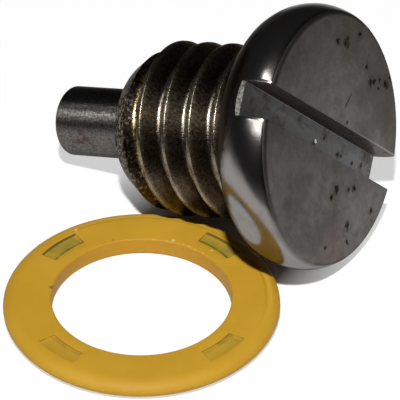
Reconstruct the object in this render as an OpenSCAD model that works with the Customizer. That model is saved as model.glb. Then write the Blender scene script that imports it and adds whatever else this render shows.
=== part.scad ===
// Slotted drain plug with a magnet in its end, lying beside its sealing washer. Lengths in mm, angles in degrees.
// The floor is z = 0. The origin is the middle of the washer's underside, and +X runs along the plug to its head.

/* [Head] */
// Diameter of the head at its fullest
head_d = 14.29; // [14:0.01:14.6]
// Thickness of the head
head_t = 3.18; // [3:0.01:3.4]
// Curve of the head's turned side
barrel_r = 2.6; // [2.5:0.1:4]
// How far the fullest ring lies behind the outer face
bulge_at = 1.4; // [1.3:0.05:1.6]
// Rounding where the side meets the sealing seat
seat_round = 0.6; // [0.4:0.05:0.8]

/* [Driver slot] */
// Width of the slot
slot_w = 1.9; // [1.6:0.05:2.1]
// Depth of the slot
slot_depth = 1.55; // [1.2:0.05:1.7]
// Turn of the slot about the plug's own axis
slot_turn = 41.5; // [0:0.5:180]

/* [Thread] */
// Outside diameter, 3/8 inch
thread_d = 9.525; // [9.4:0.005:9.6]
// Pitch, 16 to the inch
pitch = 1.5875; // [1.5875:0.0001:1.5876]
// Threaded length under the head
shank_len = 8.54; // [8:0.01:9]
// Diameter of the flat end of the shank
tip_d = 7.16; // [6.8:0.02:7.4]
// Length of the lead cone that cuts the first turn
lead_len = 1.7; // [1.4:0.05:2]
// Distance from the flat end to the middle of the first crest, on the side that lies down
first_crest = 1.34; // [1.2:0.01:1.4]

/* [Magnet] */
// Diameter of the magnet rod
magnet_d = 3.84; // [3.7:0.01:4.1]
// Length that stands out of the shank
magnet_out = 5.15; // [4:0.05:5.5]
// Depth of the bore that holds it
magnet_bore_depth = 4.5; // [3:0.1:6]
// Bevel of the rod's free end
magnet_bevel = 0.2; // [0.1:0.05:0.5]

/* [Washer] */
// Outside diameter
washer_od = 14.75; // [14.3:0.05:15]
// How much wider its bore is than the thread that passes through it
washer_gap = 0.05; // [0.05:0.005:0.4]
// Thickness
washer_t = 1; // [0.95:0.05:1.2]
// How far in from the outside the upper and lower faces start to curve away
washer_edge = 0.8; // [0.5:0.05:1]
// Rounding of the bore's edges
washer_bore_round = 0.1; // [0.1:0.05:0.25]
// Depth of the four moulded pockets in the upper face
pocket_depth = 0.12; // [0.05:0.01:0.2]
// Angle that a pocket spans, round the washer
pocket_span = 22.5; // [18:0.5:26]
// Width of a pocket, across the band
pocket_w = 0.9; // [0.8:0.05:1.1]
// Diameter of the circle through the middles of the pockets
pocket_ring = 11.95; // [11.7:0.05:12.1]
// Angle of the first pocket
pocket_turn = 75.5; // [0:0.5:89]

/* [Where the plug lies] */
// Middle of the head's seat, along the plug from the washer's middle
plug_x = 3.12; // [3:0.01:4]
// How far the shank laps over the rounded edge of the washer
plug_lap = 0.18; // [-0.5:0.01:0.25]

/* [Hidden] */
// Smoothness of round surfaces, and of the small roundings
$fn = 96;
fine_fn = 24;
// How far a cutting shape runs past what it cuts
past = 0.5;

// Head profile
head_r = head_d / 2;
// Centre of the arc of the turned side, in the profile
arc_x = head_r - barrel_r;
arc_z = head_t - bulge_at;
// Centre of the rounding at the seat, which the arc meets smoothly
round_x = arc_x + sqrt(pow(barrel_r - seat_round, 2) - pow(arc_z - seat_round, 2));
round_z = seat_round;
// Where the two arcs meet
meet_k = barrel_r / (barrel_r - seat_round);
meet_x = arc_x + (round_x - arc_x) * meet_k;
meet_z = arc_z + (round_z - arc_z) * meet_k;

// Thread form: 60 degrees, flat crest of an eighth of the pitch
thread_r = thread_d / 2;
crest_w = pitch / 8;
thread_depth = 0.6134 * pitch;
root_r = thread_r - thread_depth;
flank_w = thread_depth * tan(30);
root_w = pitch - crest_w - 2 * flank_w;
// Steps in one turn, and turns, which pass both ends before they are cut
steps = 60;
turns = ceil(shank_len / pitch) + 3;
thread_from = -shank_len + first_crest - 2 * pitch - root_w - flank_w - crest_w / 2;
// The four corners of one groove and crest: radius, and place along the pitch
form = [
    [root_r, 0],
    [root_r, root_w],
    [thread_r, root_w + flank_w],
    [thread_r, root_w + flank_w + crest_w]
];
corners = len(form);
columns = steps * turns;

// Lead cone: its small radius, and how much it widens in a millimetre
tip_r = tip_d / 2;
lead_slope = (thread_r - tip_r) / lead_len;

// The plug rests on its head and on the first turn, at the corner that the lead cone leaves on it
flank_top = first_crest + crest_w / 2;
flank_slope = 1 / tan(30);
foot_up = (thread_r + flank_top * flank_slope - tip_r) / (lead_slope + flank_slope);
foot_r = tip_r + foot_up * lead_slope;
foot_a = foot_r - arc_x;
foot_b = arc_z + shank_len - foot_up;
rest_tilt = asin(barrel_r / norm([foot_a, foot_b])) - atan2(foot_a, foot_b);
plug_z = barrel_r + arc_x * cos(rest_tilt) - arc_z * sin(rest_tilt);

// Beside the washer: where that turn touches the floor, how far the washer reaches there,
// and half the width of the shank at the height of the washer's top
foot_x = plug_x - (shank_len - foot_up) * cos(rest_tilt) + foot_r * sin(rest_tilt);
washer_reach = sqrt(pow(washer_od / 2, 2) - pow(foot_x, 2));
shank_half = sqrt(pow(thread_r, 2) - pow(thread_r - washer_t, 2));
plug_y = washer_reach + shank_half - plug_lap;

// The washer's bore, a named gap over the thread
washer_id = thread_d + washer_gap;

steel = [0.36, 0.35, 0.34];
magnet_grey = [0.3, 0.29, 0.28];
yellow = [0.8, 0.6, 0.14];

plug_body();
magnet();
seal_washer();

// Height of profile corner k in column j of the thread
function thread_point(j, k) =
    let (angle = j * 360 / steps, r = form[k][0], z = thread_from + j * pitch / steps + form[k][1])
    [r * cos(angle), r * sin(angle), z];

// Turns the plug's own axis, which is upright, to the way it lies
module place_plug() {
    translate([plug_x, plug_y, plug_z])
        rotate([0, 90 - rest_tilt, 0])
            children();
}

// Solid screw thread, longer than the shank at both ends
module thread_blank() {
    shell = [for (j = [0 : columns]) for (k = [0 : corners - 1]) thread_point(j, k)];
    low = len(shell);
    high = low + 1;
    points = concat(shell, [[0, 0, thread_from - pitch], [0, 0, thread_from + (turns + 1) * pitch + pitch]]);
    sides = [
        for (j = [0 : columns - 1])
            for (k = [0 : corners - 2])
                [j * corners + k, j * corners + k + 1, (j + 1) * corners + k + 1, (j + 1) * corners + k]
    ];
    joins = [
        for (j = [0 : columns - steps - 1])
            [
                (j + 1) * corners - 1,
                (j + steps) * corners,
                (j + steps + 1) * corners,
                (j + 2) * corners - 1
            ]
    ];
    // Edge of the lower end: the first corner line for one turn, then the profile of the first column
    low_edge = concat(
        [for (j = [steps : -1 : 1]) j * corners],
        [for (k = [0 : corners - 1]) k]
    );
    // Edge of the upper end: the last corner line for one turn, then the profile of the last column
    high_edge = concat(
        [for (j = [columns - steps : columns - 1]) (j + 1) * corners - 1],
        [for (k = [corners - 1 : -1 : 0]) columns * corners + k]
    );
    low_cap = [for (i = [0 : len(low_edge) - 1]) [low, low_edge[i], low_edge[(i + 1) % len(low_edge)]]];
    high_cap = [for (i = [0 : len(high_edge) - 1]) [high, high_edge[i], high_edge[(i + 1) % len(high_edge)]]];
    polyhedron(points = points, faces = concat(sides, joins, low_cap, high_cap), convexity = 10);
}

// Envelope of the shank: a flat end, the lead cone, then wide of the thread
module shank_envelope() {
    wide_r = thread_r + 1;
    wide_z = -shank_len + (wide_r - tip_r) / lead_slope;
    rotate_extrude()
        polygon([[0, -shank_len], [tip_r, -shank_len], [wide_r, wide_z], [wide_r, past], [0, past]]);
}

// Half profile of the head: a flat face, a turned side and a rounded seat edge
module head_profile() {
    square([arc_x, head_t]);
    intersection() {
        translate([arc_x, arc_z])
            circle(r = barrel_r);
        translate([0, meet_z])
            square([head_r + past, head_t - meet_z]);
    }
    polygon([[0, 0], [round_x, 0], [round_x, round_z], [meet_x, meet_z], [0, meet_z]]);
    translate([round_x, round_z])
        circle(r = seat_round, $fn = fine_fn);
}

module plug_body() {
    color(steel)
        place_plug()
            difference() {
                union() {
                    rotate_extrude()
                        head_profile();
                    intersection() {
                        thread_blank();
                        shank_envelope();
                    }
                }
                rotate([0, 0, slot_turn])
                    translate([-head_d, -slot_w / 2, head_t - slot_depth])
                        cube([2 * head_d, slot_w, slot_depth + past]);
                translate([0, 0, -shank_len - past])
                    cylinder(d = magnet_d, h = magnet_bore_depth + past);
            }
}

module magnet() {
    rod_r = magnet_d / 2;
    rod_top = -shank_len + magnet_bore_depth;
    rod_end = -shank_len - magnet_out;
    color(magnet_grey)
        place_plug()
            rotate_extrude()
                polygon([
                    [0, rod_end],
                    [rod_r - magnet_bevel, rod_end],
                    [rod_r, rod_end + magnet_bevel],
                    [rod_r, rod_top],
                    [0, rod_top]
                ]);
}

// Half profile of the washer: both faces curve away to a full round outer edge, and the bore's edges are eased
module washer_profile() {
    in_r = washer_id / 2;
    flat_r = washer_od / 2 - washer_edge;
    translate([in_r + washer_bore_round, 0])
        square([flat_r - in_r - washer_bore_round, washer_t]);
    translate([in_r, washer_bore_round])
        square([flat_r - in_r, washer_t - 2 * washer_bore_round]);
    for (z = [washer_bore_round, washer_t - washer_bore_round])
        translate([in_r + washer_bore_round, z])
            circle(r = washer_bore_round, $fn = fine_fn);
    translate([flat_r, washer_t / 2])
        scale([washer_edge, washer_t / 2])
            circle(r = 1, $fn = 2 * fine_fn);
}

// Cutting shape for one moulded pocket, a short piece of a ring, with its middle on the X axis
module pocket_cut() {
    rotate([0, 0, -pocket_span / 2])
        rotate_extrude(angle = pocket_span)
            translate([(pocket_ring - pocket_w) / 2, washer_t - pocket_depth])
                square([pocket_w, pocket_depth + past]);
}

module seal_washer() {
    color(yellow)
        difference() {
            rotate_extrude()
                washer_profile();
            for (turn = [0 : 90 : 270])
                rotate([0, 0, pocket_turn + turn])
                    pocket_cut();
        }
}
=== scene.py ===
# %% [markdown]
# # A magnetic drain plug and its sealing washer
#
# The object is a short slotted screw turned from one steel bar. A magnet rod stands out of its end, to
# catch metal dust in oil. A flat yellow washer lies loose beside it. The real plug has seen years of
# oil, so its steel is dark, its face is dull and pitted, and only the side of the head still shines.
#
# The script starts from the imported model, which is the fixed frame. The three nodes have the right
# shape and size, but their edges are razor sharp, as no turned or moulded edge is. So each is built
# again here on the same sizes, with the small roundings and marks that catch the light.

from math import asin, atan2, cos, degrees, hypot, pi, radians, sin, tan

import bmesh
import bpy
from mathutils import Matrix, Vector


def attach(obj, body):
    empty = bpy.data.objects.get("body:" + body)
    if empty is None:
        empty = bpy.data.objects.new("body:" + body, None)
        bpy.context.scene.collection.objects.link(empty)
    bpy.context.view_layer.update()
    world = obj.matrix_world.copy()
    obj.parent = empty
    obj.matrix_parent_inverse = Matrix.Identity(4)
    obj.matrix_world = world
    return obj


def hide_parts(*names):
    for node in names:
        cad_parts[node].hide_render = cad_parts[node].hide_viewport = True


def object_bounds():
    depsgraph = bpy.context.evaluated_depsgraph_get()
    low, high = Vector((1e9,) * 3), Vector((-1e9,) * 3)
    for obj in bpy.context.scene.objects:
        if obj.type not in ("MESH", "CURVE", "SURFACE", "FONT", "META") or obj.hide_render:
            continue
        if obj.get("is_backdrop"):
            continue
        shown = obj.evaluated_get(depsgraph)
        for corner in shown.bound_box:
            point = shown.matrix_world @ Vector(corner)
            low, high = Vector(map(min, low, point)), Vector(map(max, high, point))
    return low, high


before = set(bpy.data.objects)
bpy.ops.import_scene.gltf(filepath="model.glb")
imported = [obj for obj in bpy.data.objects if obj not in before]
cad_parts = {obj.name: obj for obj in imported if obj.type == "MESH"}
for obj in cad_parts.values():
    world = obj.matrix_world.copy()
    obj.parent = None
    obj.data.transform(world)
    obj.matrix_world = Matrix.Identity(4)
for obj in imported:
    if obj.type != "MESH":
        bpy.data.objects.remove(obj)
cad_low, cad_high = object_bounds()
print("nodes:", sorted(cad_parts))
print("box in mm:", [round(1000 * v, 2) for v in (*cad_low, *cad_high)])

# %% [markdown]
# ## Where the plug lies
#
# The plug can't stand up, so it lies on the rim of its head and on its first turn of thread, and its
# axis rises a little towards the head. It is easiest to model it upright, in millimetres, with the
# sealing seat of the head at height zero, and to lay it down at the end. The same place serves the
# materials: a pattern that follows the lathe has to know where the plug's axis is.

# %% The plug's own place
MM = 0.001
REST_TILT = 16.5987
TILT = radians(REST_TILT)
SEAT = Vector((3.12, 9.75029, 6.44712))
LAY = Matrix.Translation(SEAT * MM) @ Matrix.Rotation(pi / 2 - TILT, 4, "Y") @ Matrix.Scale(MM, 4)
print("seat in mm:", tuple(SEAT), "rise in degrees:", REST_TILT)

# %% [markdown]
# ## From a profile to a solid
#
# Nearly every shape here comes from a lathe or a round mould. So its half profile, points of radius
# and height, is carried once round the axis by the spin operator. An open profile starts and ends on
# the axis, and a closed one makes a ring. A spin can leave a shape inside out, so doubled points are
# merged and the faces turned outwards before the shape becomes an object.

# %% Helpers: profiles and solids


def arc(cx, cz, r, start, end, count):
    """Points of a profile on an arc, from one angle to another in degrees."""
    steps = [radians(start + (end - start) * i / count) for i in range(count + 1)]
    return [(cx + r * cos(a), cz + r * sin(a)) for a in steps]


def spun(profile, steps, closed=False, phase=0.0, climb=0.0):
    """A bmesh of a profile carried once round the axis. It may climb on the way, as a thread does."""
    bm = bmesh.new()
    turn = Matrix.Rotation(phase, 4, "Z")
    points = [bm.verts.new(turn @ Vector((r, 0, z))) for r, z in profile]
    ends = points[1:] + points[:1] if closed else points[1:]
    edges = [bm.edges.new(pair) for pair in zip(points, ends)]
    bmesh.ops.spin(
        bm,
        geom=points + edges,
        axis=(0, 0, 1),
        cent=(0, 0, 0),
        angle=2 * pi,
        steps=steps,
        dvec=(0, 0, climb / steps),
        use_merge=climb == 0,
    )
    return bm


def to_object(bm, name):
    """Makes an object of a bmesh, and frees the bmesh."""
    bmesh.ops.remove_doubles(bm, verts=bm.verts, dist=1e-5)
    bmesh.ops.recalc_face_normals(bm, faces=bm.faces)
    mesh = bpy.data.meshes.new(name)
    bm.to_mesh(mesh)
    bm.free()
    made = bpy.data.objects.new(name, mesh)
    bpy.context.scene.collection.objects.link(made)
    return made


# %% [markdown]
# ## The head
#
# The side of the head is barrelled: one arc of 2.6 mm carries it from the seat towards the face, and a
# smaller arc rounds it into the seat. The two meet where they point the same way, so the shine runs
# over the join. Years of use have worn the edge between side and face to a rounding of 0.38 mm.
#
# The spin starts half a step off the slot, so that the walls of the slot fall in the middle of the
# narrow faces and not on their edges. The bevel that comes later needs that room.

# %% Head blank
HEAD_R, HEAD_T, BARREL = 7.145, 3.18, 2.6
ARC_X, ARC_Z = HEAD_R - BARREL, HEAD_T - 1.4
SEAT_ROUND, RIM_ROUND = 0.6, 0.38
ROUND_X = ARC_X + ((BARREL - SEAT_ROUND) ** 2 - (ARC_Z - SEAT_ROUND) ** 2) ** 0.5
SIDE_LOW = -36.16
STEPS = 96
SLOT_TURN = radians(41.5)

side_high = degrees(asin((HEAD_T - RIM_ROUND - ARC_Z) / (BARREL - RIM_ROUND)))
rim_r = ARC_X + (BARREL - RIM_ROUND) * cos(radians(side_high))
head_profile = [(0, 0), (3.0, 0)]
head_profile += arc(ROUND_X, SEAT_ROUND, SEAT_ROUND, -90, SIDE_LOW, 8)
head_profile += arc(ARC_X, ARC_Z, BARREL, SIDE_LOW, side_high, 24)[1:]
head_profile += arc(rim_r, HEAD_T - RIM_ROUND, RIM_ROUND, side_high, 90, 8)[1:] + [(0, HEAD_T)]
head = to_object(spun(head_profile, STEPS, phase=SLOT_TURN + pi / STEPS), "plug")
print("head blank:", len(head.data.polygons), "faces, flat face out to radius", round(rim_r, 3))

# %% [markdown]
# ## The driver slot
#
# A saw cuts the slot right across. At each end its floor drops away in a short worn facet, where the
# screwdriver has slipped off, and one of them catches the lamp in the photograph. What a saw takes
# away is a solid too: the side view of the slot, drawn as one face and extruded to its width. A
# Boolean modifier cuts it out. It can leave slivers that spoil the shading, so points closer than
# 0.002 mm are merged after each cut. A bevel then breaks every edge that the cutter left.

# %% Helpers: cutting
SLIVER = 0.002


def apply_all(made):
    """Writes the object's modifiers into its mesh."""
    graph = bpy.context.evaluated_depsgraph_get()
    graph.update()
    mesh = bpy.data.meshes.new_from_object(made.evaluated_get(graph), depsgraph=graph)
    made.modifiers.clear()
    old, made.data = made.data, mesh
    bpy.data.meshes.remove(old)


def carve(target, tool, operation="DIFFERENCE"):
    """Cuts a tool out of a target, or joins it on, and throws the tool and any slivers away."""
    cut = target.modifiers.new("carve", "BOOLEAN")
    cut.operation, cut.object, cut.solver = operation, tool, "EXACT"
    apply_all(target)
    bpy.data.objects.remove(tool)
    bm = bmesh.new()
    bm.from_mesh(target.data)
    bmesh.ops.remove_doubles(bm, verts=bm.verts, dist=SLIVER)
    bmesh.ops.dissolve_degenerate(bm, edges=bm.edges, dist=SLIVER)
    bm.to_mesh(target.data)
    bm.free()


def break_edges(made, width, sharper_than):
    """Bevels every edge that turns by more than an angle in degrees."""
    bevel = made.modifiers.new("broken edges", "BEVEL")
    bevel.limit_method, bevel.angle_limit = "ANGLE", radians(sharper_than)
    bevel.width, bevel.segments, bevel.profile = width, 2, 0.5
    apply_all(made)


def extruded(outline, thickness, matrix):
    """A straight solid from an outline in X and Z, as thick as asked along Y."""
    bm = bmesh.new()
    base = bm.faces.new([bm.verts.new((x, -thickness / 2, z)) for x, z in outline])
    grown = bmesh.ops.extrude_face_region(bm, geom=[base])["geom"]
    grown = [v for v in grown if isinstance(v, bmesh.types.BMVert)]
    bmesh.ops.translate(bm, vec=(0, thickness, 0), verts=grown)
    bmesh.ops.transform(bm, matrix=matrix, verts=bm.verts)
    return bm


# %% Slot
SLOT_W, SLOT_DEPTH = 1.9, 1.55
FACET_IN, FACET_OUT, FACET_DROP = 6.97, 7.3, 0.62
SAW_REACH, SAW_TOP = 7.9, HEAD_T + 1
WORN_EDGE = 0.035

floor_z = HEAD_T - SLOT_DEPTH
facet_z = floor_z - FACET_DROP
half_slot = [(FACET_IN, floor_z), (FACET_OUT, facet_z), (SAW_REACH, facet_z), (SAW_REACH, SAW_TOP)]
outline = [(-x, z) for x, z in reversed(half_slot)] + half_slot
saw = to_object(extruded(outline, SLOT_W, Matrix.Rotation(SLOT_TURN, 4, "Z")), "saw")
carve(head, saw)
break_edges(head, WORN_EDGE, 40)
print("slotted head:", len(head.data.polygons), "faces")

# %% [markdown]
# ## The thread
#
# A thread is one profile carried round the axis while it climbs. The profile here is a row of grooves,
# as long as the shank and a bit more. One turn with a climb of one pitch makes each groove's end meet
# the next groove's start, so the row closes to a tube with a true right-hand thread on it. Two cutting
# planes then give it flat ends, and the upper one lies inside the head.
#
# The form is the 60 degree one: 3/8 inch outside, 16 turns to the inch. The tool leaves the roots as
# round as the form allows, and use softens the crests. These roundings are where a thread catches
# light, so each corner of the profile gets its own small arc.

# %% Thread profile
THREAD_R, PITCH, SHANK = 4.7625, 1.5875, 8.54
DEPTH = 0.6134 * PITCH
ROOT_R = THREAD_R - DEPTH
CREST_W = PITCH / 8
FLANK_W = DEPTH * tan(radians(30))
ROOT_W = PITCH - CREST_W - 2 * FLANK_W
FIRST_CREST = 1.34
ROOT_ROUND, CREST_ROUND = 0.225, 0.05


def rounded(corner, before, after, radius, count):
    """Points that round a corner of a profile, between its neighbours."""
    c, a, b = Vector(corner), Vector(before), Vector(after)
    to_a, to_b = (a - c).normalized(), (b - c).normalized()
    half = to_a.angle(to_b) / 2
    reach = radius / tan(half)
    middle = c + (to_a + to_b).normalized() * (radius / sin(half))
    start, end = (c + to_a * reach - middle).normalized(), (c + to_b * reach - middle).normalized()
    return [tuple(middle + radius * start.slerp(end, i / count)) for i in range(count + 1)]


def groove(z):
    """One pitch of the thread's profile, from the middle of a root to the middle of the next one."""
    corners = [
        (ROOT_R, z),
        (ROOT_R, z + ROOT_W / 2),
        (THREAD_R, z + ROOT_W / 2 + FLANK_W),
        (THREAD_R, z + ROOT_W / 2 + FLANK_W + CREST_W),
        (ROOT_R, z + PITCH - ROOT_W / 2),
        (ROOT_R, z + PITCH),
    ]
    points = [corners[0]]
    roundings = ((ROOT_ROUND, 5), (CREST_ROUND, 3), (CREST_ROUND, 3), (ROOT_ROUND, 5))
    for i, (radius, count) in enumerate(roundings, start=1):
        points += rounded(corners[i], corners[i - 1], corners[i + 1], radius, count)
    return points


print("thread depth", round(DEPTH, 3), "mm, points in one groove:", len(groove(0)))

# %% Thread
INTO_HEAD = 1.0
GROOVES = 9

thread_low = -SHANK + FIRST_CREST - 2.5 * PITCH
thread_profile = [p for row in range(GROOVES) for p in groove(thread_low + row * PITCH)]
thread_profile.append((ROOT_R, thread_low + GROOVES * PITCH))
bm = spun(thread_profile, STEPS, climb=PITCH)
bmesh.ops.remove_doubles(bm, verts=bm.verts, dist=1e-4)
for height, up in ((-SHANK, -1), (INTO_HEAD, 1)):
    cut = bmesh.ops.bisect_plane(
        bm,
        geom=bm.verts[:] + bm.edges[:] + bm.faces[:],
        dist=1e-6,
        plane_co=(0, 0, height),
        plane_no=(0, 0, up),
        clear_outer=True,
    )
    loop = [e for e in cut["geom_cut"] if isinstance(e, bmesh.types.BMEdge)]
    bmesh.ops.contextual_create(bm, geom=loop)
thread = to_object(bm, "thread")
print("thread:", len(thread.data.polygons), "faces")

# %% [markdown]
# ## The lead cone and the bore
#
# The shank's end is turned to a cone before the thread is cut, so that the first turn starts in the
# nut by itself. Here the waste that the lathe takes off is a closed ring, and carving it away leaves
# the cone and a broken corner at the flat end. Then the shank and the head become one solid, as they
# are in the bar, and a drill makes the bore for the magnet, a little wider at its mouth.

# %% One plug
TIP_R, LEAD, TIP_BREAK = 3.58, 1.7, 0.12
MAGNET_R, BORE, BORE_BREAK = 1.92, 4.5, 0.16
WASTE_R, WASTE_TOP = 8, -SHANK + 2.6
PAST_END = -SHANK - 1

slope = (THREAD_R - TIP_R) / LEAD
waste = [(TIP_R - TIP_BREAK, PAST_END), (TIP_R - TIP_BREAK, -SHANK), (TIP_R, -SHANK + TIP_BREAK)]
waste += [(TIP_R + slope * (WASTE_TOP + SHANK), WASTE_TOP), (WASTE_R, WASTE_TOP), (WASTE_R, PAST_END)]
carve(thread, to_object(spun(waste, STEPS, closed=True), "waste"))
carve(head, thread, "UNION")
bore_top = -SHANK + BORE
drill = [(0, PAST_END), (MAGNET_R + BORE_BREAK + 1, PAST_END), (MAGNET_R, -SHANK + BORE_BREAK)]
drill += [(MAGNET_R, bore_top), (0, bore_top)]
carve(head, to_object(spun(drill, 64), "drill"))
print("plug in one piece:", len(head.data.polygons), "faces")

# %% [markdown]
# ## Finishes of the plug's regions
#
# One steel piece can wear several finishes: the polished side, the dull face, the sawn slot, the worn
# facets at its ends, and the oily thread. Each polygon picks one by where it lies and where it faces,
# while the plug still stands upright and such questions are easy to ask. The bevels on the slot's
# upright edges are rubbed bare as the facets are, so they share that finish.

# %% Regions
SIDE, FACE, SLOT, THREAD, FACET = range(5)
SEAT_MARGIN = 0.02


def region(centre, normal):
    """The finish that a polygon of the upright plug wears."""
    if centre.z < SEAT_MARGIN:
        return THREAD
    across = abs((Matrix.Rotation(-SLOT_TURN, 3, "Z") @ centre).y)
    under_skin = ARC_X + BARREL * cos(asin((centre.z - ARC_Z) / BARREL)) - centre.xy.length
    if across < SLOT_W / 2 + 0.004 and under_skin > 0.012 and 1.0 < centre.z < HEAD_T - 0.02:
        return FACET if centre.z < floor_z - 0.01 else SLOT
    beside_slot = SLOT_W / 2 < across < SLOT_W / 2 + WORN_EDGE
    if beside_slot and centre.z > floor_z + 0.06 and normal.z < 0.6 and under_skin < 0.2:
        return FACET
    if normal.z > 0.7 and centre.z > HEAD_T - 0.2:
        return FACE
    return SIDE


for polygon in head.data.polygons:
    polygon.material_index = region(polygon.center, polygon.normal)
counts = [sum(p.material_index == k for p in head.data.polygons) for k in range(5)]
print("faces on side, face, slot, thread, facet:", counts)

# %% [markdown]
# ## The lathe map
#
# The lathe leaves fine grooves round the axis, and they stretch every reflection along it. The shader
# can do that if a UV map tells it which way round is. So U is the angle, and V runs along the profile.
# A polygon on the seam of the angle keeps its corners together, on the side where its middle lies.

# %% Lathe map


def lathe_map(mesh):
    """Writes a UV map with the angle round the axis and the way along the profile."""
    layer = mesh.uv_layers.new(name="lathe")
    for polygon in mesh.polygons:
        middle = atan2(-polygon.center.y, -polygon.center.x)
        for i in polygon.loop_indices:
            p = mesh.vertices[mesh.loops[i].vertex_index].co
            angle = atan2(-p.y, -p.x) if hypot(p.x, p.y) > 1e-6 else middle
            angle += 2 * pi * round((middle - angle) / (2 * pi))
            layer.data[i].uv = (angle / (2 * pi), 0.1 * (p.z - hypot(p.x, p.y)))


lathe_map(head.data)
print("UV maps of the plug:", [layer.name for layer in head.data.uv_layers])

# %% [markdown]
# ## The magnet
#
# The magnet is a plain ground rod. Its free end has a small rounding, and the rest of it sits in the
# bore, a hair short of its bottom. It is a lathe shape too, so it takes the same helpers and map. A
# few more points along it keep the faces from growing long and thin.

# %% Magnet
MAGNET_OUT, END_ROUND = 5.15, 0.22

rod_end = -SHANK - MAGNET_OUT
rod_top = bore_top - 0.01
rod = [(0, rod_end), (MAGNET_R - END_ROUND - 0.4, rod_end)]
rod += arc(MAGNET_R - END_ROUND, rod_end + END_ROUND, END_ROUND, -90, 0, 6)
rod += [(MAGNET_R, rod_end + 1.0 + i) for i in range(4)] + [(MAGNET_R, rod_top), (0, rod_top)]
magnet = to_object(spun(rod, STEPS), "magnet_rod")
lathe_map(magnet.data)
print("magnet:", len(magnet.data.polygons), "faces,", round(rod_top - rod_end, 2), "mm long")

# %% [markdown]
# ## The washer
#
# The washer is moulded: a flat ring with soft outer edges, crisper edges round its bore, and four
# shallow pockets in its upper face. Its section is a closed profile, so the spin makes a ring. The
# outer edge is half an ellipse, 0.8 mm deep and as high as the ring.

# %% Washer
OUT_R, IN_R, THICK = 7.375, 4.7875, 1.0
EDGE_IN, IN_ROUND = 0.8, 0.1

flat_r = OUT_R - EDGE_IN
section = [(flat_r + EDGE_IN * x, THICK / 2 * (1 + z)) for x, z in arc(0, 0, 1, -90, 90, 24)]
section += arc(IN_R + IN_ROUND, THICK - IN_ROUND, IN_ROUND, 90, 180, 5)
section += arc(IN_R + IN_ROUND, IN_ROUND, IN_ROUND, 180, 270, 5)
washer = to_object(spun(section, 144, closed=True), "washer_ring")
print("washer blank:", len(washer.data.polygons), "faces")

# %% [markdown]
# ## Its pockets
#
# Each pocket is cut by a short curved block: one small upright face, spun through 22.5 degrees. A
# hair-line bevel then softens the pockets' edges, as the steel of a mould is never perfectly sharp.

# %% Pockets
POCKET_R, POCKET_W, POCKET_DEPTH = 5.975, 0.9, 0.12
POCKET_TURN, POCKET_SPAN = 75.5, 22.5
POCKET_EDGE = 0.03

low, high, bottom = POCKET_R - POCKET_W / 2, POCKET_R + POCKET_W / 2, THICK - POCKET_DEPTH
cutters = bmesh.new()
for quarter in range(4):
    turn = Matrix.Rotation(radians(POCKET_TURN + 90 * quarter - POCKET_SPAN / 2), 4, "Z")
    corners = [(low, bottom), (high, bottom), (high, THICK + 1), (low, THICK + 1)]
    blade = cutters.faces.new([cutters.verts.new(turn @ Vector((r, 0, z))) for r, z in corners])
    bmesh.ops.spin(
        cutters,
        geom=[blade, *blade.edges, *blade.verts],
        axis=(0, 0, 1),
        cent=(0, 0, 0),
        angle=radians(POCKET_SPAN),
        steps=9,
        use_merge=False,
    )
carve(washer, to_object(cutters, "pocket cutters"))
break_edges(washer, POCKET_EDGE, 50)
print("washer with its pockets:", len(washer.data.polygons), "faces")

# %% [markdown]
# ## Tools for the materials
#
# A material is a small network of nodes. One helper adds a node and wires its inputs in order, and the
# others are short words for the nodes used most. An effect that several finishes share becomes a named
# group with inputs and outputs, built once.

# %% Helpers for nodes
FLOAT, VECTOR = "NodeSocketFloat", "NodeSocketVector"


def feed(tree, socket, value):
    """Wires a value to a socket if it comes from another node, and otherwise sets it there."""
    if isinstance(value, bpy.types.NodeSocket):
        tree.links.new(value, socket)
    else:
        socket.default_value = value


def add(tree, kind, *inputs, out=0, **settings):
    """Adds a node, feeds its inputs in order, and gives back one of its outputs."""
    made = tree.nodes.new(kind)
    for key, value in settings.items():
        setattr(made, key, value)
    for socket, value in zip(made.inputs, inputs):
        feed(tree, socket, value)
    return made.outputs[out]


def maths(tree, operation, a, b=0.0):
    """A Math node."""
    return add(tree, "ShaderNodeMath", a, b, operation=operation)


def times(tree, first, *others):
    """The product of two or more values."""
    for other in others:
        first = maths(tree, "MULTIPLY", first, other)
    return first


def remap(tree, value, low, high, to_low=0.0, to_high=1.0):
    """A Map Range node that clamps: it turns one range of values into another."""
    return add(tree, "ShaderNodeMapRange", value, low, high, to_low, to_high, clamp=True)


def measure(tree, kind, a, b=(0.0, 0.0, 0.0)):
    """A number from vectors: the LENGTH of one, or the DISTANCE or DOT_PRODUCT of two."""
    return add(tree, "ShaderNodeVectorMath", a, b, out=1, operation=kind)


def apart(tree, vector):
    """The X, Y and Z of a vector."""
    made = tree.nodes.new("ShaderNodeSeparateXYZ")
    tree.links.new(vector, made.inputs[0])
    return made.outputs


def noise(tree, vector, scale, detail=3.0, rough=0.55):
    """A noise value at that scale."""
    made = tree.nodes.new("ShaderNodeTexNoise")
    for label, value in (("Vector", vector), ("Scale", scale), ("Detail", detail), ("Roughness", rough)):
        feed(tree, made.inputs[label], value)
    return made.outputs["Fac"]


def to_mm(tree, vector):
    """A vector in millimetres, from one in metres."""
    made = tree.nodes.new("ShaderNodeVectorMath")
    made.operation = "SCALE"
    tree.links.new(vector, made.inputs[0])
    made.inputs["Scale"].default_value = 1 / MM
    return made.outputs[0]


def group(name, inputs, outputs):
    """A new shader node group with float or vector sockets, and its input and output nodes."""
    tree = bpy.data.node_groups.new(name, "ShaderNodeTree")
    for label, kind, value in inputs:
        socket = tree.interface.new_socket(label, in_out="INPUT", socket_type=kind)
        socket.default_value = value
    for label, kind in outputs:
        tree.interface.new_socket(label, in_out="OUTPUT", socket_type=kind)
    return tree, tree.nodes.new("NodeGroupInput"), tree.nodes.new("NodeGroupOutput")


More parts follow.
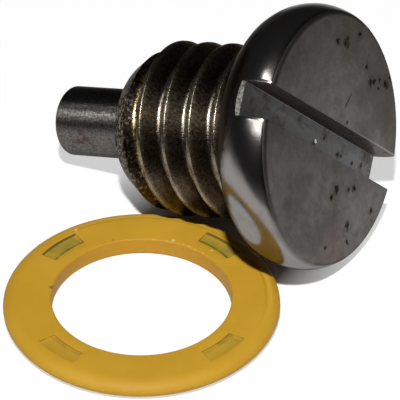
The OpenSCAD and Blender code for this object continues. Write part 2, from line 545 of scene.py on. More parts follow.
# %% [markdown]
# ## Shared effects
#
# **Plug axis** turns a point of the object into what a lathe knows: how far along the axis, and how
# far from it. It also gives the point on the upright plug, in millimetres, and a vector for marks that
# change fast along the profile and slowly round it. A Mapping node of the texture kind undoes the
# plug's lie, and the values are read off from there.
#
# **Lathe marks** are fine grooves: noise read with that vector.
#
# **Grime** is patchy: a large cloud decides where it sits, and a small one breaks its edge.
#
# **Spot** is a soft ragged stain at a chosen point, for marks that the photograph shows in one place.

# %% Effect: plug axis
plug_axis, inside, outside = group(
    "plug axis", [], [("Along", FLOAT), ("Radius", FLOAT), ("Marks Vector", VECTOR), ("Upright", VECTOR)]
)
here = add(plug_axis, "ShaderNodeTexCoord", out=3)
place, lean, scale = tuple(SEAT * MM), (0.0, pi / 2 - TILT, 0.0), (1.0, 1.0, 1.0)
local = add(plug_axis, "ShaderNodeMapping", here, place, lean, scale, vector_type="TEXTURE")
upright = to_mm(plug_axis, local)
x, y, z = apart(plug_axis, upright)
radius = measure(plug_axis, "LENGTH", add(plug_axis, "ShaderNodeCombineXYZ", x, y, 0.0))
angle = maths(plug_axis, "ARCTAN2", times(plug_axis, y, -1.0), times(plug_axis, x, -1.0))
marks = add(plug_axis, "ShaderNodeCombineXYZ", z, radius, times(plug_axis, angle, 0.12))
for label, value in (("Along", z), ("Radius", radius), ("Marks Vector", marks), ("Upright", upright)):
    plug_axis.links.new(value, outside.inputs[label])
print("group:", plug_axis.name, "outputs:", [s.name for s in plug_axis.interface.items_tree])

# %% Effect: lathe marks
lathe_marks, inside, outside = group(
    "lathe marks", [("Vector", VECTOR, (0, 0, 0)), ("Scale", FLOAT, 9.0)], [("Value", FLOAT)]
)
fine = noise(lathe_marks, inside.outputs["Vector"], inside.outputs["Scale"], 5.0, 0.7)
lathe_marks.links.new(fine, outside.inputs["Value"])
print("group:", lathe_marks.name, "nodes:", len(lathe_marks.nodes))

# %% Effect: grime
PATCH_SHARE, GRIME_EDGE = 0.62, 0.14

grime, inside, outside = group(
    "grime",
    [
        ("Vector", VECTOR, (0, 0, 0)),
        ("Patch Scale", FLOAT, 0.5),
        ("Grain Scale", FLOAT, 6.0),
        ("Amount", FLOAT, 0.5),
    ],
    [("Mask", FLOAT)],
)
patches = noise(grime, inside.outputs["Vector"], inside.outputs["Patch Scale"], 2.0, 0.5)
grains = noise(grime, inside.outputs["Vector"], inside.outputs["Grain Scale"], 5.0, 0.5)
both = maths(grime, "ADD", times(grime, patches, PATCH_SHARE), times(grime, grains, 1 - PATCH_SHARE))
start = maths(grime, "SUBTRACT", 0.72, times(grime, inside.outputs["Amount"], 0.4))
mask = remap(grime, both, start, maths(grime, "ADD", start, GRIME_EDGE))
grime.links.new(mask, outside.inputs["Mask"])
print("group:", grime.name, "nodes:", len(grime.nodes))

# %% Effect: spot
RAGGED = 2.3

spot, inside, outside = group(
    "spot",
    [("Vector", VECTOR, (0, 0, 0)), ("Centre", VECTOR, (0, 0, 0)), ("Size", FLOAT, 0.5)],
    [("Mask", FLOAT)],
)
vector, centre, size = (inside.outputs[label] for label in ("Vector", "Centre", "Size"))
sway = times(spot, maths(spot, "SUBTRACT", noise(spot, vector, 5.0), 0.5), size, RAGGED)
share = maths(spot, "DIVIDE", maths(spot, "ADD", measure(spot, "DISTANCE", vector, centre), sway), size)
spot.links.new(remap(spot, share, 0.35, 1.0, 1.0, 0.0), outside.inputs["Mask"])
print("group:", spot.name, "nodes:", len(spot.nodes))

# %% [markdown]
# ## Words for the finishes
#
# Each finish is a base colour, other colours painted over it through masks, a roughness and a bump. A
# metal has one more number: how bright it looks at a grazing angle. Oil holds that down, so it is low
# on this plug.

# %% Helpers for finishes
OILY_EDGE, WIPED_EDGE, BARE_EDGE = 0.3, 0.55, 1.0


def material(name):
    """An empty material with a Principled shader and its output."""
    made = bpy.data.materials.new(name)
    made.use_nodes = True
    tree = made.node_tree
    tree.nodes.clear()
    shader = tree.nodes.new("ShaderNodeBsdfPrincipled")
    output = tree.nodes.new("ShaderNodeOutputMaterial")
    tree.links.new(shader.outputs[0], output.inputs[0])
    return made, tree, shader


def use(tree, shared, **values):
    """Places a group in a material, and feeds its named inputs."""
    made = tree.nodes.new("ShaderNodeGroup")
    made.node_tree = shared
    for label, value in values.items():
        feed(tree, made.inputs[label.replace("_", " ")], value)
    return made.outputs


def paint(tree, under, over, mask, share=1.0):
    """A colour painted over another where a mask is 1, at a share of its full strength."""
    made = tree.nodes.new("ShaderNodeMix")
    made.data_type = "RGBA"
    factor = mask if share == 1.0 else times(tree, mask, share)
    for key, value in ((0, factor), (6, under), (7, over)):
        feed(tree, made.inputs[key], (*value, 1) if isinstance(value, tuple) else value)
    return made.outputs[2]


def metal(tree, shader, colour, roughness, edge, metallic=1.0):
    """Gives the shader a metal's colour, its roughness, and its brightness at a grazing angle."""
    feed(tree, shader.inputs["Base Color"], colour)
    feed(tree, shader.inputs["Roughness"], roughness)
    shader.inputs["Metallic"].default_value = metallic
    shader.inputs["Specular Tint"].default_value = (edge, edge, edge, 1)


def matt(tree, shader, colour, roughness, shine):
    """Gives the shader the colour, the roughness and the weak shine of plastic or paper."""
    feed(tree, shader.inputs["Base Color"], colour)
    shader.inputs["Roughness"].default_value = roughness
    shader.inputs["Specular IOR Level"].default_value = shine


def relief(tree, shader, height, strength, distance):
    """Lets a height tilt the shader's normals. The distance is in metres."""
    bump = tree.nodes.new("ShaderNodeBump")
    bump.inputs["Strength"].default_value, bump.inputs["Distance"].default_value = strength, distance
    tree.links.new(height, bump.inputs["Height"])
    tree.links.new(bump.outputs[0], shader.inputs["Normal"])


# %% [markdown]
# ## The polished side of the head
#
# A mirror with a history: dark steel, low roughness, faint lathe marks, and smears of oil that make
# it a little duller here and there. Most of what one sees in it is the floor, the washer and the lamp.
# Close to the face, painted shade darkens its colour. Near the sealing seat, where no rag reaches, brown
# grime has built up, and a painted dark reflection of the thread lies there with it. Its edge is ragged,
# and it reaches further on the upper side, as in the photograph.

# %% Finish: polished side
CLEAN_SIDE, OILED_SIDE = (0.26, 0.246, 0.238), (0.21, 0.195, 0.18)
SIDE_SHADE_BY_FACE, SEAT_GRIME_AND_REFLECTION = (0.07, 0.067, 0.065), (0.03, 0.022, 0.013)

side_steel, tree, shader = material("polished side")
axis = use(tree, plug_axis)
smear = use(tree, grime, Vector=axis["Upright"], Patch_Scale=0.35, Grain_Scale=2.0, Amount=0.45)["Mask"]
colour = paint(tree, CLEAN_SIDE, OILED_SIDE, smear)
# painted shade: the side darkens close to the face
face_edge_shade = remap(tree, axis["Along"], HEAD_T - 0.35, HEAD_T - 0.15, 0.0, 0.6)
colour = paint(tree, colour, SIDE_SHADE_BY_FACE, face_edge_shade)
# dark brown by the seat: grime, with a painted reflection of the dark thread
ragged = times(tree, maths(tree, "SUBTRACT", noise(tree, axis["Upright"], 0.9, 5.0), 0.5), 1.2)
reach = remap(tree, apart(tree, axis["Upright"])[0], -3.8, -1.8, 0.8, 0.0)
up_side = maths(tree, "SUBTRACT", maths(tree, "ADD", axis["Along"], ragged), reach)
seat_grime_and_reflection = remap(tree, up_side, 0.8, 0.15)
colour = paint(tree, colour, SEAT_GRIME_AND_REFLECTION, seat_grime_and_reflection)
gloss = maths(tree, "ADD", remap(tree, smear, 0.0, 1.0, 0.18, 0.25), times(tree, seat_grime_and_reflection, 0.2))
metal(tree, shader, colour, gloss, WIPED_EDGE)
marks = use(tree, lathe_marks, Vector=axis["Marks Vector"], Scale=7.0)["Value"]
relief(tree, shader, marks, 0.05, 0.00002)
print(side_steel.name + ":", len(tree.nodes), "nodes")

# %% [markdown]
# ## The dull face
#
# The face has lost its polish to rags, tools and road dirt. It is darker and rougher than the side, and
# clouded at three scales: wide patches, smears and a fine mottle. A pinkish and an olive stain have
# known places. Painted shade darkens the face towards its top as it lies, and on its rounded rim. A
# painted highlight runs as a pale line along one edge of the slot, brighter towards its right end. A
# dot product tells how far a point lies across or along the slot.

# %% Finish: dull face, its steel
FACE_STEEL, FACE_GREASE = (0.222, 0.209, 0.204), (0.18, 0.167, 0.151)
FACE_TOP_SHADE, FACE_PATCH = (0.05, 0.047, 0.045), (0.14, 0.132, 0.12)
FACE_MOTTLE, FACE_RIM_SHADE, EDGE_HIGHLIGHT = (0.085, 0.08, 0.074), (0.04, 0.038, 0.036), (0.34, 0.325, 0.31)
# place, size, colour and strength of each stain
STAINS = (
    ((5.33, -2.74, HEAD_T), 1.6, (0.21, 0.15, 0.14), 0.6),
    ((-3.54, 4.28, HEAD_T), 1.9, (0.125, 0.12, 0.09), 0.55),
)
ACROSS_SLOT = (-sin(SLOT_TURN), cos(SLOT_TURN), 0.0)
ALONG_SLOT = (cos(SLOT_TURN), sin(SLOT_TURN), 0.0)


def stain(tree, vector, centre, size):
    """The mask of one spot."""
    return use(tree, spot, Vector=vector, Centre=centre, Size=size)["Mask"]


face_steel, tree, shader = material("dull face")
axis = use(tree, plug_axis)
point = axis["Upright"]
cloud = use(tree, grime, Vector=point, Patch_Scale=0.28, Grain_Scale=2.5, Amount=0.55)["Mask"]
colour = paint(tree, FACE_STEEL, FACE_GREASE, cloud)
# painted shade: darker towards the top of the face as it lies
colour = paint(tree, colour, FACE_TOP_SHADE, remap(tree, apart(tree, point)[0], 4.0, -5.0, 0.0, 0.3))
colour = paint(tree, colour, FACE_PATCH, remap(tree, noise(tree, point, 0.22, 2.0), 0.5, 0.66))
for centre, size, tint, share in STAINS:
    colour = paint(tree, colour, tint, stain(tree, point, centre, size), share)
mottle = remap(tree, noise(tree, point, 1.4, 6.0, 0.72), 0.38, 0.64, 0.0, 0.46)
colour = paint(tree, colour, FACE_MOTTLE, mottle)
# painted highlight: a pale line along one edge of the slot, brighter to the right
past_edge = maths(tree, "SUBTRACT", measure(tree, "DOT_PRODUCT", point, ACROSS_SLOT), SLOT_W / 2)
edge_highlight_line = times(tree, remap(tree, past_edge, 0.09, 0.05), remap(tree, past_edge, -0.5, -0.4))
edge_highlight_line = times(tree, edge_highlight_line, remap(tree, measure(tree, "DOT_PRODUCT", point, ALONG_SLOT), 1.5, 5.0))
colour = paint(tree, colour, EDGE_HIGHLIGHT, edge_highlight_line)
# painted shade on the rounded rim of the face
colour = paint(tree, colour, FACE_RIM_SHADE, remap(tree, axis["Radius"], rim_r + 0.05, rim_r + 0.3, 0.0, 0.25))
print(face_steel.name + ":", len(tree.nodes), "nodes so far")

# %% [markdown]
# ## Its pits and its scratch
#
# The larger rust pits have known places, in millimetres on the upright plug. One helper gathers their
# spots into a single mask, which darkens the steel and sinks it too. Round most pits the rust has
# spread into a faint halo. The scratch is a thin short box, measured across and along.

# %% Finish: dull face, its pits and scratch
PITS = [
    (-3.86, 3.42, 0.25), (-3.98, 3.70, 0.12), (-4.40, 2.76, 0.17), (-3.58, 4.87, 0.14), (-1.62, 4.70, 0.13),
    (-0.67, 4.64, 0.18), (-0.56, 4.98, 0.18), (-0.28, 5.52, 0.12), (0.26, 5.97, 0.22), (2.67, -0.91, 0.22),
    (2.78, -1.51, 0.17), (3.34, 0.12, 0.14), (3.59, 0.67, 0.19), (5.61, 1.60, 0.13), (5.02, -0.87, 0.22),
]
SMALL_PITS = [
    (0.05, 5.22, 0.13), (0.16, 6.52, 0.09), (5.81, -1.26, 0.14), (4.85, -3.29, 0.13), (-0.01, 1.65, 0.11),
]
PIT_SPREAD, HALO_SPREAD = 1.25, 3.25
HALO, RUST = (0.08, 0.075, 0.055), (0.025, 0.018, 0.012)
SCRATCH_AT, SCRATCH_ACROSS, SCRATCH_ALONG = (-0.99, 2.25, HEAD_T), (0.94, 0.34, 0.0), (0.34, -0.94, 0.0)


def spots(tree, vector, marks):
    """A mask of many spots, each given as X, Y, Z and size."""
    total = 0.0
    for x, y, z, size in marks:
        total = maths(tree, "MAXIMUM", total, stain(tree, vector, (x, y, z), size))
    return total


def level(places, height, spread=PIT_SPREAD):
    """Marks that lie at one height. A spot fades out inside its size, so its size is spread."""
    return [(x, y, height, spread * size) for x, y, size in places]


halo = spots(tree, point, level(PITS, HEAD_T, HALO_SPREAD))
colour = paint(tree, colour, HALO, halo, 0.3)
pits = spots(tree, point, level(PITS + SMALL_PITS, HEAD_T))
from_scratch = add(tree, "ShaderNodeVectorMath", point, SCRATCH_AT, operation="SUBTRACT")
across = maths(tree, "ABSOLUTE", measure(tree, "DOT_PRODUCT", from_scratch, SCRATCH_ACROSS))
along = maths(tree, "ABSOLUTE", measure(tree, "DOT_PRODUCT", from_scratch, SCRATCH_ALONG))
scratch = times(tree, remap(tree, across, 0.06, 0.02), remap(tree, along, 0.6, 0.4))
pits = maths(tree, "MAXIMUM", pits, times(tree, scratch, 0.7))
colour = paint(tree, colour, RUST, pits, 0.85)
marks = use(tree, lathe_marks, Vector=axis["Marks Vector"], Scale=6.0)["Value"]
metal(tree, shader, colour, remap(tree, marks, 0.3, 0.7, 0.38, 0.48), OILY_EDGE)
relief(tree, shader, maths(tree, "SUBTRACT", times(tree, marks, 0.2), pits), 0.5, 0.00003)
print(face_steel.name + ":", len(tree.nodes), "nodes,", len(PITS + SMALL_PITS), "pits")

# %% [markdown]
# ## The sawn slot
#
# Inside the slot the steel is bluer and dirtier, and painted shade makes its upper half darker. Painted
# light makes its walls paler and browner, less so where dirt lies. The same dot product as before
# tells walls from floor. A few pits, and one bright white spot on the floor, have known places.

# %% Finish: sawn slot
SLOT_STEEL, SLOT_GREASE, SLOT_SHADE = (0.16, 0.163, 0.16), (0.1, 0.092, 0.08), (0.05, 0.048, 0.045)
SLOT_WALL_LIGHT, SLOT_RUST, BRIGHT_SPOT = (0.26, 0.225, 0.205), (0.02, 0.016, 0.012), (0.9, 0.88, 0.86)
FLOOR_PITS = [
    (0.59, 0.37, 0.12), (0.94, 1.36, 0.09), (2.48, 2.11, 0.17),
    (2.72, 2.39, 0.11), (3.69, 3.17, 0.12), (4.32, 3.95, 0.13),
]
WALL_PITS = [(1.27, 2.39, 2.71, 0.16), (1.88, 2.94, 2.68, 0.18), (3.85, 4.67, 2.89, 0.16)]

slot_steel, tree, shader = material("sawn slot")
axis = use(tree, plug_axis)
point = axis["Upright"]
cloud = use(tree, grime, Vector=point, Patch_Scale=0.8, Grain_Scale=5.0, Amount=0.5)["Mask"]
colour = paint(tree, SLOT_STEEL, SLOT_GREASE, cloud)
colour = paint(tree, colour, SLOT_SHADE, remap(tree, apart(tree, point)[0], 3.5, 0.0, 0.0, 0.4))
# painted light: the walls are paler and browner, less so where dirt lies
across = maths(tree, "ABSOLUTE", measure(tree, "DOT_PRODUCT", point, ACROSS_SLOT))
wall_light = remap(tree, across, SLOT_W / 2 - 0.04, SLOT_W / 2 - 0.02)
wall_light = times(tree, wall_light, maths(tree, "SUBTRACT", 1.0, times(tree, cloud, 0.5)))
colour = paint(tree, colour, SLOT_WALL_LIGHT, wall_light)
pits = spots(tree, point, level(FLOOR_PITS, floor_z) + WALL_PITS)
colour = paint(tree, colour, SLOT_RUST, pits, 0.9)
colour = paint(tree, colour, BRIGHT_SPOT, stain(tree, point, (0.65, 0.55, floor_z), 0.13))
metal(tree, shader, colour, remap(tree, cloud, 0.0, 1.0, 0.34, 0.48), OILY_EDGE, metallic=0.8)
relief(tree, shader, maths(tree, "SUBTRACT", noise(tree, point, 2.6, 3.0, 0.6), pits), 0.5, 0.00005)
print(slot_steel.name + ":", len(tree.nodes), "nodes")

# %% [markdown]
# ## The worn facets
#
# Where the screwdriver has slipped, the steel is bare and beaten into small beads. One noise serves
# twice: it picks dark or bright, and it lifts the beads.

# %% Finish: worn facet
BETWEEN_BEADS, BEAD = (0.035, 0.032, 0.029), (0.12, 0.113, 0.106)

facet_steel, tree, shader = material("worn facet")
beads = noise(tree, use(tree, plug_axis)["Upright"], 6.0, 2.0, 0.6)
metal(tree, shader, paint(tree, BETWEEN_BEADS, BEAD, remap(tree, beads, 0.4, 0.6)), 0.55, BARE_EDGE)
relief(tree, shader, beads, 0.6, 0.0001)
print(facet_steel.name + ":", len(tree.nodes), "nodes")

# %% [markdown]
# ## The oily thread
#
# Oil and baked dirt darken the flanks and leave the crests bright, so the radius tells them apart. The
# bottoms of the roots are paler and catch light too. On the first turns their colour is a painted gold
# reflection, and on the others it is grey. The lead cone is dark with bright specks. Grit lies
# everywhere, but most near the end, where a mask along the axis raises its share. The flat end is plain
# steel, smeared with oil.

# %% Finish: oily thread, its colour
FLANK, CREST, OIL = (0.1, 0.077, 0.053), (0.26, 0.225, 0.17), (0.075, 0.053, 0.03)
GREY_ROOT, GOLD_ROOT_REFLECTION = (0.24, 0.215, 0.175), (0.34, 0.26, 0.1)
CONE, CONE_SPECK = (0.05, 0.046, 0.038), (0.27, 0.255, 0.23)
BRIGHT_GRIT, DARK_GRIT = (0.5, 0.47, 0.42), (0.03, 0.025, 0.018)
END_STEEL, END_OIL = (0.19, 0.17, 0.145), (0.11, 0.085, 0.06)

thread_steel, tree, shader = material("oily thread")
axis = use(tree, plug_axis)
point, along, radius = axis["Upright"], axis["Along"], axis["Radius"]
speck = noise(tree, point, 7.0, 3.0, 0.65)
dirt = use(tree, grime, Vector=point, Patch_Scale=0.7, Grain_Scale=5.0, Amount=0.5)["Mask"]
colour = paint(tree, FLANK, CREST, remap(tree, radius, THREAD_R - 0.2, THREAD_R - 0.03))
# the gold of the first roots is a painted reflection, the grey is the roots' own colour
root = paint(tree, GREY_ROOT, GOLD_ROOT_REFLECTION, remap(tree, along, -6.2, -6.6))
colour = paint(tree, colour, root, remap(tree, radius, ROOT_R + 0.14, ROOT_R + 0.05), 0.8)
colour = paint(tree, colour, OIL, dirt, 0.85)
cone = remap(tree, along, -7.5, -7.75)
colour = paint(tree, colour, CONE, cone, 0.8)
colour = paint(tree, colour, CONE_SPECK, times(tree, cone, remap(tree, speck, 0.5, 0.58, 0.0, 0.95)))
grit = noise(tree, point, 5.0, 2.0, 0.6)
near_end = remap(tree, along, -6.5, -6.9)
bright = times(tree, remap(tree, grit, 0.56, 0.62), maths(tree, "ADD", times(tree, near_end, 0.7), 0.08))
colour = paint(tree, colour, BRIGHT_GRIT, bright)
dark = times(tree, remap(tree, grit, 0.43, 0.38), maths(tree, "ADD", times(tree, near_end, 0.4), 0.5))
colour = paint(tree, colour, DARK_GRIT, dark)
flat_end = remap(tree, along, -SHANK + 0.06, -SHANK + 0.02, 0.0, 0.85)
colour = paint(tree, colour, paint(tree, END_STEEL, END_OIL, dirt), flat_end)
print(thread_steel.name + ":", len(tree.nodes), "nodes so far")

# %% [markdown]
# ## Its grooves
#
# The cutting tool's fine grooves run round the axis, and a highlight is a long streak across them. The
# anisotropic setting stretches a highlight along its tangent. The Tangent node reads the way round
# from the lathe map, and a quarter turn of rotation points it across the grooves.

# %% Finish: oily thread, its grooves


def brushed(tree, shader, amount):
    """Stretches the shader's highlights across the grooves that a lathe leaves."""
    round_way = tree.nodes.new("ShaderNodeTangent")
    round_way.direction_type, round_way.uv_map = "UV_MAP", "lathe"
    tree.links.new(round_way.outputs[0], shader.inputs["Tangent"])
    shader.inputs["Anisotropic"].default_value = amount
    shader.inputs["Anisotropic Rotation"].default_value = 0.25


marks = use(tree, lathe_marks, Vector=axis["Marks Vector"], Scale=8.0)["Value"]
metal(tree, shader, colour, remap(tree, speck, 0.35, 0.65, 0.22, 0.36), OILY_EDGE)
brushed(tree, shader, 0.65)
relief(tree, shader, maths(tree, "ADD", times(tree, marks, 0.5), speck), 0.35, 0.00004)
print(thread_steel.name + ":", len(tree.nodes), "nodes")

# %% [markdown]
# ## The ground magnet
#
# A magnet alloy is sintered and then ground, so it is grey, finely grained and strongly brushed, with
# one long soft streak of light. Dark specks and old oil lie on it, and low on the side that the
# photograph shows, a reddish stain has a known place.

# %% Finish: ground magnet
MAGNET_GREY, MAGNET_OIL, MAGNET_SPECK = (0.185, 0.175, 0.165), (0.12, 0.1, 0.085), (0.07, 0.065, 0.06)
MAGNET_RUST, RUST_AT = (0.07, 0.035, 0.03), (0.05, -1.92, -11.9)

magnet_steel, tree, shader = material("ground magnet")
axis = use(tree, plug_axis)
point = axis["Upright"]
speck = noise(tree, point, 8.0, 3.0, 0.7)
dirt = use(tree, grime, Vector=point, Patch_Scale=0.6, Grain_Scale=6.0, Amount=0.4)["Mask"]
colour = paint(tree, MAGNET_GREY, MAGNET_OIL, dirt)
colour = paint(tree, colour, MAGNET_SPECK, remap(tree, speck, 0.42, 0.58, 0.75, 0.0))
rust = times(tree, stain(tree, point, RUST_AT, 1.1), remap(tree, noise(tree, point, 2.5, 3.0), 0.48, 0.56))
colour = paint(tree, colour, MAGNET_RUST, rust, 0.75)
metal(tree, shader, colour, remap(tree, speck, 0.35, 0.65, 0.28, 0.38), OILY_EDGE)
brushed(tree, shader, 0.95)
marks = use(tree, lathe_marks, Vector=axis["Marks Vector"], Scale=8.0)["Value"]
relief(tree, shader, maths(tree, "ADD", marks, speck), 0.22, 0.00003)
print(magnet_steel.name + ":", len(tree.nodes), "nodes")

# %% [markdown]
# ## The yellow washer
#
# A tough moulded plastic with a soft shine, nearly even in colour. Round the bore it is darker and more
# orange, which is painted shade. Grease has stayed in the pockets and made them greenish. Along the
# inner side of each pocket, a dark bar is grease and painted shade together. Along the outer side, a thin
# dark line is the painted shadow of the pocket's wall. Grease and painted shade grow stronger towards
# the far side. The masks come from the radius, the height and the angle. A modulo folds the four
# quarters of the ring onto one, so that a single mask serves all four pockets.

# %% Finish: yellow plastic, where its pockets are
yellow, tree, shader = material("yellow plastic")
point = to_mm(tree, add(tree, "ShaderNodeTexCoord", out=3))
x, y, z = apart(tree, point)
radius = measure(tree, "LENGTH", add(tree, "ShaderNodeCombineXYZ", x, y, 0.0))
from_seam = maths(tree, "SUBTRACT", maths(tree, "ARCTAN2", y, x), radians(POCKET_TURN - 45))
folded = maths(tree, "MODULO", maths(tree, "ADD", from_seam, 4 * pi), pi / 2)
beside = maths(tree, "ABSOLUTE", maths(tree, "SUBTRACT", folded, pi / 4))
in_span = remap(tree, beside, radians(POCKET_SPAN / 2 + 0.6), radians(POCKET_SPAN / 2 - 0.6))
in_depth = remap(tree, z, THICK - 0.02, THICK - 0.07)
off_middle = maths(tree, "ABSOLUTE", maths(tree, "SUBTRACT", radius, POCKET_R))
in_width = remap(tree, off_middle, POCKET_W / 2 + 0.05, POCKET_W / 2 - 0.02)
pocket = times(tree, in_span, in_depth, in_width)
print(yellow.name + ":", len(tree.nodes), "nodes so far")

# %% Finish: yellow plastic, its body and grease
BODY_DARK, BODY_PALE, BORE_SHADE_ORANGE = (0.49, 0.27, 0.019), (0.525, 0.296, 0.023), (0.5, 0.26, 0.018)
GREASE, GREASE_AND_SHADE_BAR, POCKET_WALL_SHADOW = (0.225, 0.195, 0.03), (0.085, 0.08, 0.018), (0.12, 0.07, 0.012)


def ring_mask(tree, radius, middle, half, soft):
    """A mask that is 1 on a thin ring round the washer's axis."""
    away = maths(tree, "ABSOLUTE", maths(tree, "SUBTRACT", radius, middle))
    return remap(tree, away, half + soft, half)


body = paint(tree, BODY_DARK, BODY_PALE, remap(tree, noise(tree, point, 0.5), 0.35, 0.65))
# painted shade: darker and more orange round the bore
body = paint(tree, body, BORE_SHADE_ORANGE, remap(tree, radius, IN_R + 0.14, IN_R + 0.03))
# this strength raises the grease and the painted shade towards the far side
strength = remap(tree, y, -2.0, 1.5, 0.3, 1.0)
grease = times(tree, pocket, strength, remap(tree, noise(tree, point, 2.2, 4.0), 0.3, 0.6, 0.35, 1.0))
body = paint(tree, body, GREASE, grease, 0.85)
# dark bar on the pockets' inner side: grease and painted shade
grease_and_shade_bar = times(tree, ring_mask(tree, radius, POCKET_R - 0.36, 0.07, 0.12), grease)
body = paint(tree, body, GREASE_AND_SHADE_BAR, grease_and_shade_bar, 0.85)
# thin dark line: the painted shadow of each pocket's outer wall
wall_shadow_line = ring_mask(tree, radius, POCKET_R + POCKET_W / 2 - 0.02, 0.035, 0.03)
body = paint(tree, body, POCKET_WALL_SHADOW, times(tree, wall_shadow_line, in_span, strength), 0.75)
print(yellow.name + ":", len(tree.nodes), "nodes so far")

# %% [markdown]
# ## Its small marks
#
# On the far half of the ring, a faint line of painted shade marks where the flat top meets the curved
# outer edge, a pale band of painted light lies where that edge starts to curve away, and a painted
# speckled highlight runs along the lip round the bore. A few dark dots and white flecks have known places.

# %% Finish: yellow plastic, its marks
CREASE_SHADE, RIM_LIGHT_BAND, LIP_HIGHLIGHT = (0.36, 0.19, 0.012), (0.6, 0.36, 0.04), (0.7, 0.47, 0.12)
DARK_DOT, WHITE_FLECK = (0.16, 0.075, 0.012), (0.8, 0.62, 0.33)
DARK_DOTS = [(-4.57, -1.75, 0.16), (3.05, 3.62, 0.14), (1.2, 5.5, 0.12), (-3.7, 3.3, 0.12)]
WHITE_FLECKS = [(-5.9, 3.07, 0.1), (-0.86, 4.9, 0.09), (1.35, 5.15, 0.08)]

body = paint(tree, body, DARK_DOT, spots(tree, point, level(DARK_DOTS, THICK, 1.0)), 0.8)
far_side = remap(tree, y, 1.0, 4.0)
# painted shade where the flat top meets the curved outer edge
body = paint(tree, body, CREASE_SHADE, times(tree, ring_mask(tree, radius, 6.62, 0.02, 0.06), far_side), 0.55)
# painted light where the outer edge starts to curve away
body = paint(tree, body, RIM_LIGHT_BAND, times(tree, ring_mask(tree, radius, 6.85, 0.05, 0.12), far_side), 0.7)
# painted speckled highlight on the lip round the bore
flecks = remap(tree, noise(tree, point, 3.2, 3.0, 0.6), 0.54, 0.62)
lit_arc = remap(tree, maths(tree, "ABSOLUTE", maths(tree, "ADD", x, 0.6)), 2.4, 1.0)
lip_highlight = times(tree, ring_mask(tree, radius, IN_R + 0.09, 0.04, 0.06), times(tree, far_side, flecks), lit_arc)
body = paint(tree, body, LIP_HIGHLIGHT, lip_highlight, 0.7)
body = paint(tree, body, WHITE_FLECK, spots(tree, point, level(WHITE_FLECKS, THICK, 1.0)), 0.8)
matt(tree, shader, body, 0.55, 0.18)
relief(tree, shader, noise(tree, point, 3.0, 4.0), 0.15, 0.00003)
print("materials:", [m.name for m in bpy.data.materials])

# %% [markdown]
# ## Laying the pieces down
#
# Now each piece gets its finishes and goes to its place in the frame. It is shaded smooth, and edges
# where two faces meet at a clear angle stay sharp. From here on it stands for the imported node, which
# stays hidden under it.

# %% Place the pieces


def lay(made, matrix, node, finishes):
    """Lays a finished shape in its place in the frame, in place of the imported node."""
    for finish in finishes:
        made.data.materials.append(finish)
    made.data.transform(matrix)
    made.data.shade_smooth()
    made.data.set_sharp_from_angle(angle=radians(32))
    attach(made, "root")
    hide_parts(node)
    size = [round(1000 * d, 3) for d in made.dimensions]
    print(made.name, "faces:", len(made.data.polygons), "size in mm:", size)


lay(head, LAY, "plug_body", (side_steel, face_steel, slot_steel, thread_steel, facet_steel))
lay(magnet, LAY, "magnet", (magnet_steel,))
lay(washer, Matrix.Scale(MM, 4), "seal_washer", (yellow,))

# %% [markdown]
# ## The floor
#
# The photograph's ground is plain white, which the lamp alone would leave uneven. So rays from the
# camera, and rays mirrored by the steel, see part of the white as a glow. The other part still comes
# from the lamp, so that the object keeps its shadow. The gap under the plug is dark, so there is no
# glow there. The white fades away from the object, as in a dim room, and in front of the head, to the
# right, mirrored rays see it darker still, as the steel reflects something dark there in the
# photograph. Seen from below, the floor is clear. A flat sheet has no inside, so which way its faces
# point is checked and not left to chance.

# %% Floor
FLOOR_DROP = 0.00002
POOL_AT, POOL_R, POOL_FADE, POOL_LEAST = (-0.002, 0.0098, 0.0), 0.022, 0.042, 0.14
DARK_WAY = (0.818, -0.576, 0.0)
GAP_AT = (0.0005, 0.0065, 0.0)
BLACK, GREY_PAPER, WHITE = (0, 0, 0), (0.8, 0.8, 0.8), (1.0, 1.0, 1.0)

floor = to_object(spun([(r, 0.0) for r in (0.0, 0.03, 0.06, 0.12, 0.3, 1.1)], 64), "floor")
floor.data.transform(Matrix.Translation((0, 0, -FLOOR_DROP)))
if floor.data.polygons[0].normal.z < 0:
    floor.data.flip_normals()
paper, tree, shader = material("white paper")
here = add(tree, "ShaderNodeTexCoord", out=3)
outside_pool = maths(tree, "SUBTRACT", measure(tree, "DISTANCE", here, POOL_AT), POOL_R)
past = times(tree, maths(tree, "MAXIMUM", outside_pool, 0.0), 1 / POOL_FADE)
pool = maths(tree, "DIVIDE", 1.0, maths(tree, "ADD", times(tree, past, past), 1.0))
pool = maths(tree, "MAXIMUM", pool, POOL_LEAST)
path = tree.nodes.new("ShaderNodeLightPath").outputs
dark_side = remap(tree, measure(tree, "DOT_PRODUCT", here, DARK_WAY), 0.0145, 0.0195, 0.0, 0.86)
pool = times(tree, pool, maths(tree, "SUBTRACT", 1.0, times(tree, dark_side, path["Is Glossy Ray"])))
seen = maths(tree, "MAXIMUM", path["Is Camera Ray"], path["Is Glossy Ray"])
seen = maths(tree, "MAXIMUM", seen, path["Is Transmission Ray"])
matt(tree, shader, paint(tree, BLACK, paint(tree, GREY_PAPER, WHITE, seen), pool), 0.9, 0.0)
print(paper.name + ":", len(tree.nodes), "nodes so far")

# %% Floor, its glow
from_gap = measure(tree, "DISTANCE", here, GAP_AT)
share = times(tree, remap(tree, from_gap, 0.0045, 0.0085, 0.0, 0.6), seen)
glow = add(tree, "ShaderNodeEmission", paint(tree, BLACK, WHITE, pool), 1.0)
lit = add(tree, "ShaderNodeMixShader", share, shader.outputs[0], glow)
backface = tree.nodes.new("ShaderNodeNewGeometry").outputs["Backfacing"]
clear = add(tree, "ShaderNodeBsdfTransparent")
surface = add(tree, "ShaderNodeMixShader", backface, lit, clear)
output = [n for n in tree.nodes if n.type == "OUTPUT_MATERIAL"][0]
tree.links.new(surface, output.inputs[0])
floor.data.materials.append(paper)
floor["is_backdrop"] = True
print(paper.name + ":", len(tree.nodes), "nodes")

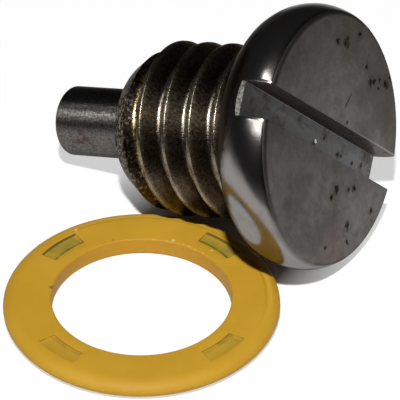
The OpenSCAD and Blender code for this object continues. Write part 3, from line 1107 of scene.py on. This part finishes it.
# %% [markdown]
# ## World and lamps
#
# The room is dim, as the steel in the photograph reflects a dark one. One small key lamp, high in
# front, makes the shadow on the washer and the round bright marks on the head: following those back
# along their reflections gives its place. Three long strips show only in what shines. They draw the
# streaks on the rod and the crests, and the light on the head's side.

# %% World and lamps
LAMP_DISTANCE = 0.6
AIM = Vector((0.002, 0.006, 0.004))

scene = bpy.context.scene
scene.view_settings.view_transform = "Standard"
world = bpy.data.worlds.new("dark room")
scene.world = world
world.use_nodes = True
world.node_tree.nodes["Background"].inputs["Color"].default_value = (0.5, 0.5, 0.52, 1)
world.node_tree.nodes["Background"].inputs["Strength"].default_value = 0.06


def stand(name, data, aim, azimuth, elevation, distance):
    """A lamp or camera that looks at a point. Azimuth 0 is in front, and grows towards +X."""
    a, e = radians(azimuth), radians(elevation)
    back = Vector((sin(a) * cos(e), -cos(a) * cos(e), sin(e)))
    made = bpy.data.objects.new(name, data)
    made.location = aim + back * distance
    made.rotation_mode = "QUATERNION"
    made.rotation_quaternion = back.to_track_quat("Z", "Y")
    scene.collection.objects.link(made)
    print(name, "at", [round(v, 4) for v in made.location], "m")
    return made


def panel(name, azimuth, elevation, width, height, watts, shine_only=True):
    """A rectangular lamp that faces the object."""
    lamp = bpy.data.lights.new(name, "AREA")
    lamp.shape, lamp.size, lamp.size_y, lamp.energy = "RECTANGLE", width, height, watts
    stand(name, lamp, AIM, azimuth, elevation, LAMP_DISTANCE).visible_diffuse = not shine_only


panel("key lamp", 27, 59, 0.025, 0.025, 4.15, shine_only=False)
panel("front shine", -4, 46, 0.42, 0.06, 0.7)
panel("low shine", 6, 39, 0.3, 0.045, 0.3)
panel("top shine", -10, 79, 0.32, 0.055, 0.55)

# %% [markdown]
# ## The camera
#
# The photograph was taken from fairly near with a long lens, a little to the right of the front and
# 38 degrees up. These numbers come from fitting the outlines of the parts to the photograph.

# %% Camera
AZIMUTH, ELEVATION, DISTANCE = 29.501, 38.287, 0.210933
TARGET = Vector((-0.001966, 0.009771, 0.0))

camera = bpy.data.cameras.new("camera")
camera.sensor_width, camera.lens = 36.0, 343.86
camera.clip_start, camera.clip_end = 0.001, 5.0
scene.camera = stand("camera", camera, TARGET, AZIMUTH, ELEVATION, DISTANCE)

# %% [markdown]
# ## Sizes, and the end
#
# The box of the dressed pieces is compared with that of the imported model, and how far it has grown
# on each side is printed in millimetres.

# %% Sizes, and the end
new_low, new_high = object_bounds()
grown = [new - old for new, old in zip((*new_low, *new_high), (*cad_low, *cad_high))]
print("grown by mm:", [round(1000 * g, 3) for g in grown])
